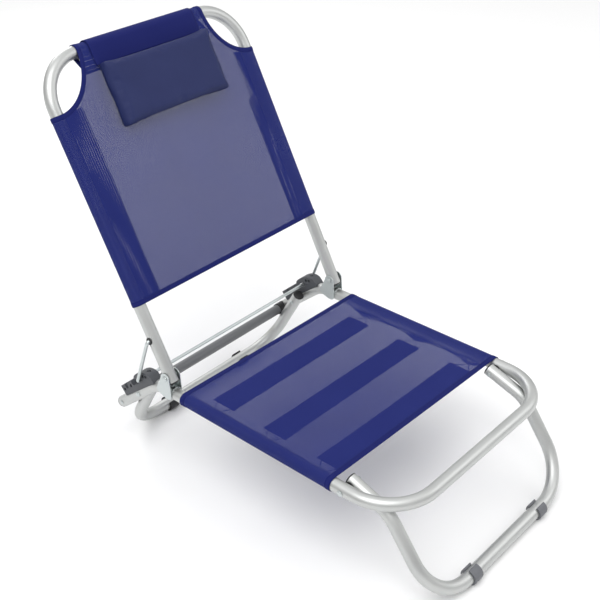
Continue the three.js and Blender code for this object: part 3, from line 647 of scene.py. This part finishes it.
def wrap_path(half, flap_steps, arc_steps, panel_steps, arc_from):
    """Stations from one flap's edge, round a tube, across the panel and round the other tube.
    Each holds its stretch, its side, its share of that stretch and the cloth's length so far."""
    stations = []
    flap = 0.02
    turn = (math.radians(90) - arc_from) * CLOTH_R
    for i in range(flap_steps):
        stations.append(("flap", -1, 1 - i / flap_steps, i / flap_steps * flap))
    total = flap
    for i in range(arc_steps):
        stations.append(("arc", -1, i / arc_steps, total + i / arc_steps * turn))
    total += turn
    for i in range(panel_steps + 1):
        stations.append(("panel", 0, i / panel_steps, total + i / panel_steps * 2 * half))
    total += 2 * half
    for i in range(1, arc_steps + 1):
        stations.append(("arc", 1, 1 - i / arc_steps, total + i / arc_steps * turn))
    total += turn
    for i in range(1, flap_steps + 1):
        stations.append(("flap", 1, i / flap_steps, total + i / flap_steps * flap))
    return stations


def section_point(station, half, arc_from, flap_tip, lift):
    """Where a station lies across the chair: x, and height off the tubes' axis."""
    kind, side, part, _ = station
    radius = CLOTH_R + lift
    if kind == "panel":
        return half * (2 * part - 1), radius
    angle = arc_from + (math.radians(90) - arc_from) * (part if kind == "arc" else 0)
    rim = (half + radius * math.cos(angle), radius * math.sin(angle))
    if kind == "flap":
        rim = tuple(a + (b - a) * part for a, b in zip(rim, flap_tip))
    return side * rim[0], rim[1]


SEAT_ARC = math.radians(-90)
SEAT_PATH = wrap_path(HALF_SPAN, 4, 14, 40, SEAT_ARC)


def seat_flap_depth(y):
    """The underside flap is drawn inwards at each strap and slack between them."""
    pull = max(math.exp(-((y - middle) / 0.026) ** 2) for middle in STRAPS)
    ends = smooth_step((-0.052 - y) / 0.012) * smooth_step((y + 0.392) / 0.012)
    return 0.003 + ends * (0.007 + 0.011 * pull)


def seat_point(i, y, lift=0.0):
    station = SEAT_PATH[round(i * (len(SEAT_PATH) - 1))]
    tip = (HALF_SPAN - seat_flap_depth(y), -CLOTH_R - lift + 0.0006)
    x, rise = section_point(station, HALF_SPAN, SEAT_ARC, tip, lift)
    if station[0] == "panel":
        across = 1 - abs(2 * station[2] - 1) ** 3
        rise -= 0.0011 * across
    return on_seat(x, y + CLOTH_SKEW * x, rise)


def band_rows(width, lift=0.0007):
    """A folded binding's profile: how far in from the cloth's edge, and how far off its surface."""
    return [(width, lift * 0.55), (width * 0.93, lift), (0.0008, lift), (-0.0003, lift * 0.4),
            (-0.0003, -lift * 0.4), (0.0008, -lift), (width * 0.93, -lift), (width, -lift * 0.55)]


def path_band(name, path, place, edge, inward, width=0.011):
    rows = band_rows(width)

    def put(i, j):
        inset, lift = rows[round(j * (len(rows) - 1))]
        return place(i, edge + inward * inset, lift)

    def uv(i, j):
        return path[round(i * (len(path) - 1))][3], j * 2 * width

    return new_piece(name, grid_mesh(len(path) - 1, len(rows) - 1, put, uv), 60)


rear_edge, front_edge = SEAT_CLOTH
SEAT_ROWS = 96
seat_cover = new_piece("seat_mesh_cover", grid_mesh(
    len(SEAT_PATH) - 1, SEAT_ROWS,
    lambda i, j: seat_point(i, front_edge + j * (rear_edge - front_edge)),
    lambda i, j: (SEAT_PATH[round(i * (len(SEAT_PATH) - 1))][3], j * (rear_edge - front_edge))), 60)
fit(seat_cover, MESH, "seat_frame", "fabric_mesh", "seat_sling")
seat_hems = [
    path_band("seat_front_binding", SEAT_PATH, seat_point, front_edge, 1),
    path_band("seat_rear_binding", SEAT_PATH, seat_point, rear_edge, -1)]
for hem in seat_hems:
    fit(hem, BINDING, "seat_frame", "webbing")

BACK_ARC = math.radians(-119.5)
BACK_PATH = wrap_path(HALF_SPAN, 6, 18, 40, BACK_ARC)


def back_flap_x(side, up):
    if side > 0:
        return 0.190 + 0.010 * smooth_step((up - 0.428) / 0.006)
    return 0.197


def back_point(i, up, lift=0.0):
    station = BACK_PATH[round(i * (len(BACK_PATH) - 1))]
    half = back_x(up)
    tip = (back_flap_x(station[1], up), CLOTH_R - 0.0012 + (-lift if lift > 0 else lift))
    x, out = section_point(station, half, BACK_ARC, tip, lift)
    return on_back(x, up, out)


def bite_point(t):
    """The cloth's edge round a top corner: half width and distance up, from the shoulder to the top bar."""
    corners = ((back_x(BACK_CLOTH_SHOULDER), BACK_CLOTH_SHOULDER), (0.198, BACK_CLOTH_SHOULDER + 0.003),
               (BACK_CLOTH_TOP_HALF + 0.002, 0.580), (BACK_CLOTH_TOP_HALF, BACK_LENGTH))
    weights = ((1 - t) ** 3, 3 * t * (1 - t) ** 2, 3 * t * t * (1 - t), t ** 3)
    return tuple(sum(w * c[k] for w, c in zip(weights, corners)) for k in (0, 1))


# Over the top bar and down behind it to where the cloth is sewn to itself.
TOP_TURN = math.radians(209)
TOP_TAIL = 0.046


def top_wrap_point(x, part, lift=0.0):
    radius = CLOTH_R + lift
    if part <= 0.75:
        angle = TOP_TURN * part / 0.75
        return on_back(x, BACK_LENGTH + radius * math.sin(angle), radius * math.cos(angle))
    rest = (part - 0.75) / 0.25
    start = (BACK_LENGTH + radius * math.sin(TOP_TURN), radius * math.cos(TOP_TURN))
    stop = (BACK_LENGTH - TOP_TAIL, CLOTH_R - 0.0012)
    return on_back(x, *(a + (b - a) * rest for a, b in zip(start, stop)))


def back_cover_mesh():
    last = len(BACK_PATH) - 1
    rise = BACK_CLOTH_SHOULDER - BACK_CLOTH_LOW
    bm = grid_mesh(last, 90, lambda i, j: back_point(i, BACK_CLOTH_LOW + j * rise),
                   lambda i, j: (BACK_PATH[round(i * last)][3], j * rise))
    middle = BACK_PATH[last // 2][3]

    def upper(i, j):
        half, up = bite_point(j)
        return on_back((2 * i - 1) * half, up, CLOTH_R)

    def upper_uv(i, j):
        half, up = bite_point(j)
        return middle + (2 * i - 1) * half, up - BACK_CLOTH_LOW

    grid_mesh(40, 28, upper, upper_uv, bm)
    top = BACK_CLOTH_TOP_HALF
    length = TOP_TURN * CLOTH_R + TOP_TAIL
    grid_mesh(40, 32, lambda i, j: top_wrap_point((2 * i - 1) * top, j),
              lambda i, j: (middle + (2 * i - 1) * top, BACK_LENGTH - BACK_CLOTH_LOW + j * length), bm)
    bmesh.ops.remove_doubles(bm, verts=bm.verts, dist=2e-6)
    return bm


back_cover = new_piece("back_mesh_cover", back_cover_mesh(), 60)
fit(back_cover, MESH, "backrest", "fabric_mesh", "back_sling")
BACK_BINDING = 0.009                     # its folded width
back_hems = [path_band("back_lower_binding", BACK_PATH, back_point, BACK_CLOTH_LOW, 1, BACK_BINDING)]


def back_binding(name, columns, put, length):
    """One binding of the back cover, laid out along its length by put."""
    rows = len(band_rows(BACK_BINDING)) - 1
    bm = grid_mesh(columns, rows, put, lambda i, j: (i * length, j * 2 * BACK_BINDING))
    return new_piece(name, bm, 60)


def bite_band(side, label):
    """The dark binding round a top corner's cut-out."""
    rows = band_rows(BACK_BINDING)

    def put(i, j):
        here, ahead = Vector(bite_point(i)), Vector(bite_point(min(1, i + 0.01)))
        behind = Vector(bite_point(max(0, i - 0.01)))
        run = (ahead - behind).normalized()
        inset, lift = rows[round(j * (len(rows) - 1))]
        half, up = here + Vector((-run.y, run.x)) * inset
        return on_back(side * half, up, CLOTH_R + lift)

    return back_binding(f"corner_binding_{label}", 36, put, 0.16)


def sleeve_mouth_band(side, label):
    """The binding round a side sleeve's upper end."""
    rows = band_rows(BACK_BINDING)

    def put(i, j):
        inset, lift = rows[round(j * (len(rows) - 1))]
        angle = math.radians(90) - i * math.radians(209.5)
        up = BACK_CLOTH_SHOULDER - inset
        radius = CLOTH_R + lift
        return on_back(side * (back_x(up) + radius * math.cos(angle)), up, radius * math.sin(angle))

    return back_binding(f"sleeve_mouth_binding_{label}", 24, put, 0.05)


def top_mouth_band(side, label):
    """The binding round the top sleeve's end."""
    rows = band_rows(BACK_BINDING)

    def put(i, j):
        inset, lift = rows[round(j * (len(rows) - 1))]
        return top_wrap_point(side * (BACK_CLOTH_TOP_HALF - inset), i, lift)

    return back_binding(f"top_sleeve_binding_{label}", 32, put, 0.09)


for side, label in SIDES:
    back_hems += [bite_band(side, label), sleeve_mouth_band(side, label), top_mouth_band(side, label)]
for hem in back_hems:
    fit(hem, BINDING, "backrest", "webbing")


def stitch_row(bm, start, stop, pitch=0.0042):
    """A run of short raised stitches."""
    run = stop - start
    count = max(1, int(run.length / pitch))
    turn = run.to_track_quat("Y", "Z").to_matrix().to_4x4()
    size = Matrix.Diagonal((0.00032, 0.0014, 0.00032, 1))
    for k in range(count):
        spot = Matrix.Translation(start + run * ((k + 0.5) / count))
        bmesh.ops.create_uvsphere(bm, u_segments=6, v_segments=4, radius=1, matrix=spot @ turn @ size)


def seat_top(x, y, lift=0.0002):
    across = 1 - min(1, abs(x) / HALF_SPAN) ** 3
    return on_seat(x, y + CLOTH_SKEW * x, CLOTH_R - 0.0011 * across + lift)


SEAM_HALF = 0.240                        # half of a seam that runs across a cover
TOP_SEAM_HALF = 0.163
ON_CLOTH = CLOTH_R + 0.0002              # just proud of the cloth's middle

seams = bmesh.new()
for side in (1, -1):
    stitch_row(seams, seat_top(side * 0.239, -0.050), seat_top(side * 0.239, -0.397))
for inset in (0.0035, 0.0095):
    for edge, inward in ((front_edge, 1), (rear_edge, -1)):
        y = edge + inward * inset
        stitch_row(seams, seat_top(-SEAM_HALF, y, 0.0011), seat_top(SEAM_HALF, y, 0.0011))
seat_seams = fit(new_piece("seat_stitching", seams), THREAD, "seat_frame", "webbing")

seams = bmesh.new()
for side in (1, -1):
    steps = ((0.162, 0.428), (0.432, 0.524)) if side > 0 else ((0.162, 0.524),)
    for low_up, high_up in steps:
        x = side * (back_flap_x(side, low_up) + 0.002)
        for shift in (0, side * 0.004):
            stitch_row(seams, on_back(x + shift, low_up, ON_CLOTH), on_back(x + shift, high_up, ON_CLOTH))
hem_up = BACK_CLOTH_LOW + 0.0075
stitch_row(seams, on_back(-SEAM_HALF, hem_up, CLOTH_R + 0.0007), on_back(SEAM_HALF, hem_up, CLOTH_R + 0.0007))
for up in (BACK_LENGTH - TOP_TAIL + 0.003, BACK_LENGTH - TOP_TAIL + 0.008):
    stitch_row(seams, on_back(-TOP_SEAM_HALF, up, ON_CLOTH), on_back(TOP_SEAM_HALF, up, ON_CLOTH))
back_seams = fit(new_piece("back_stitching", seams), THREAD, "backrest", "webbing")


# ---------- Straps under the seat ----------


def strap(middle, place_name):
    """A flat strap under the seat, tied by a V of cord to the cover's flap. Its folded edges are not drawn.
    """
    def put(i, j):
        x = (2 * i - 1) * STRAP_END
        droop = 0.0006 * (1 - (2 * i - 1) ** 2)
        waist = 1 - 0.05 * (1 - abs(2 * i - 1) ** 8)
        y = middle + (2 * j - 1) * STRAP_HALF * waist
        return on_seat(x, y + CLOTH_SKEW * x, -0.0101 - droop)

    bm = grid_mesh(60, 8, put, lambda i, j: (i * 2 * STRAP_END, j * 2 * STRAP_HALF))
    band = new_piece(f"strap_{place_name}_cloth", bm, 60)
    wall = band.modifiers.new("cloth thickness", "SOLIDIFY")
    wall.thickness = 0.0011
    wall.offset = 0
    fit(band, BINDING, "seat_frame", "webbing", f"seat_strap_{place_name}")

    ties = bmesh.new()
    stitches = bmesh.new()
    for side in (1, -1):
        tip_x = side * (HALF_SPAN - seat_flap_depth(middle) + 0.003)
        tip = on_seat(tip_x, middle + CLOTH_SKEW * tip_x, -CLOTH_R - 0.0006)
        for edge in (1, -1):
            x = side * (STRAP_END - 0.006)
            start = on_seat(x, middle + edge * (STRAP_HALF - 0.006) + CLOTH_SKEW * x, -0.0113)
            piece = bent_tube([start, tip], (), 0.0009, 10)
            mesh = bpy.data.meshes.new("tie")
            piece.to_mesh(mesh)
            piece.free()
            ties.from_mesh(mesh)
            bpy.data.meshes.remove(mesh)
            eyelet = [(1.1, -0.5), (2.2, -0.5), (2.2, 0.3), (1.1, 0.3), (1.1, -0.5)]
            turned(scaled(eyelet), start, (0, 0, 1), 16, ties)
        x = side * (STRAP_END - 0.012)
        stitch_row(stitches, on_seat(x, middle - 0.024 + CLOTH_SKEW * x, -0.0108),
                   on_seat(x, middle + 0.024 + CLOTH_SKEW * x, -0.0108))
    tie = fit(new_piece(f"strap_{place_name}_ties", ties), THREAD, "seat_frame", "webbing")
    seam = fit(new_piece(f"strap_{place_name}_stitching", stitches), THREAD, "seat_frame", "webbing")


for middle, place_name in zip(STRAPS, ("rear", "middle", "front")):
    strap(middle, place_name)


# ---------- Pillow ----------

PILLOW_HALF = 0.140
PILLOW_LOW, PILLOW_HIGH = 0.463, 0.598
PILLOW_BACK, PILLOW_FACE = 0.0148, 0.0465
PILLOW_MIDDLE = (PILLOW_LOW + PILLOW_HIGH) / 2
PILLOW_HALF_HEIGHT = (PILLOW_HIGH - PILLOW_LOW) / 2


def settle_pillow(obj, pressure, cap):
    """Swells the pillow as its filling does, and keeps every point within cap of where it began."""
    remesh = obj.modifiers.new("even mesh", "REMESH")
    remesh.mode = "VOXEL"
    remesh.voxel_size = 0.0045
    scene = bpy.context.scene
    even = bpy.data.meshes.new_from_object(obj.evaluated_get(bpy.context.evaluated_depsgraph_get()))
    obj.modifiers.clear()
    obj.data = even
    start = [vert.co.copy() for vert in even.vertices]
    cloth = obj.modifiers.new("filling", "CLOTH")
    cloth.settings.quality = 6
    cloth.settings.use_pressure = True
    cloth.settings.uniform_pressure_force = pressure
    cloth.settings.effector_weights.gravity = 0
    cloth.settings.tension_stiffness = 12
    cloth.settings.compression_stiffness = 4
    cloth.point_cache.frame_start = 1
    cloth.point_cache.frame_end = 20
    for number in range(1, 21):
        scene.frame_set(number)
    swollen = obj.evaluated_get(bpy.context.evaluated_depsgraph_get()).data
    moved = [vert.co.copy() for vert in swollen.vertices]
    obj.modifiers.clear()
    scene.frame_set(1)
    for vert, old, new in zip(obj.data.vertices, start, moved):
        step = new - old
        if step.length > cap:
            step *= cap / step.length
        vert.co = old + step


def pillow_frame(point):
    """Splits a point into across, up the backrest and forwards."""
    local = point - Vector((0, HINGE.y, HINGE.z))
    return point.x, local.dot(BACK_UP), local.dot(BACK_OUT)


def pillow_shell():
    bm = bmesh.new()
    bmesh.ops.create_cube(bm, size=1)
    inset = 0.003
    size = (2 * (PILLOW_HALF - inset), PILLOW_HIGH - PILLOW_LOW - 2 * inset,
            PILLOW_FACE - PILLOW_BACK - 0.005)
    bmesh.ops.scale(bm, vec=size, verts=bm.verts)
    bmesh.ops.bevel(bm, geom=bm.edges[:], offset=0.0045, segments=4, profile=0.5, affect="EDGES", material=-1)
    for vert in bm.verts:
        across, up, out = vert.co
        vert.co = on_back(across, up + PILLOW_MIDDLE, out + (PILLOW_BACK + PILLOW_FACE) / 2 - 0.0015)
    return bm


pillow = new_piece("pillow_case", pillow_shell(), 60)
settle_pillow(pillow, 4.0, 0.0045)
for vert in pillow.data.vertices:
    across, up, out = pillow_frame(vert.co)
    edge = max(abs(across) / PILLOW_HALF, abs(up - PILLOW_MIDDLE) / PILLOW_HALF_HEIGHT)
    crease = noise.noise(Vector((across * 16, up * 34, out * 30))) * 0.0016 * smooth_step((edge - 0.2) / 0.6)
    out = max(PILLOW_BACK + 0.0002, min(PILLOW_FACE + 0.003, out + (crease if out > 0.022 else 0)))
    vert.co = on_back(across, up, out)
pillow.data.shade_smooth()
smoother = pillow.modifiers.new("smooth", "SUBSURF")
smoother.levels = smoother.render_levels = 1
fit(pillow, PILLOW_CLOTH, "pillow", "pillow_fabric", "pillow")

LOOP_R = 0.0152
LOOP_HALF = 0.134
LOOP_TURN = math.radians(165)
LOOP_RISE = BACK_LENGTH - PILLOW_HIGH + 0.006
LOOP_LENGTH = LOOP_RISE + LOOP_TURN * (LOOP_R + 0.0004)


def loop_point(i, j):
    """The pillow's hanging flap, from the pillow's top edge up the front and over the top bar."""
    x = (2 * i - 1) * LOOP_HALF
    along = j * LOOP_LENGTH
    if along <= LOOP_RISE:
        return on_back(x, PILLOW_HIGH - 0.006 + along, LOOP_R + 0.0004)
    radius = LOOP_R + 0.0004
    angle = (along - LOOP_RISE) / radius
    return on_back(x, BACK_LENGTH + radius * math.sin(angle), radius * math.cos(angle))


flap_mesh = grid_mesh(44, 40, loop_point, lambda i, j: (i * 2 * LOOP_HALF, j * LOOP_LENGTH))
flap = new_piece("pillow_flap", flap_mesh, 60)
wall = flap.modifiers.new("cloth thickness", "SOLIDIFY")
wall.thickness = 0.0009
wall.offset = 0
fit(flap, BINDING, "pillow", "webbing", "pillow_loop")
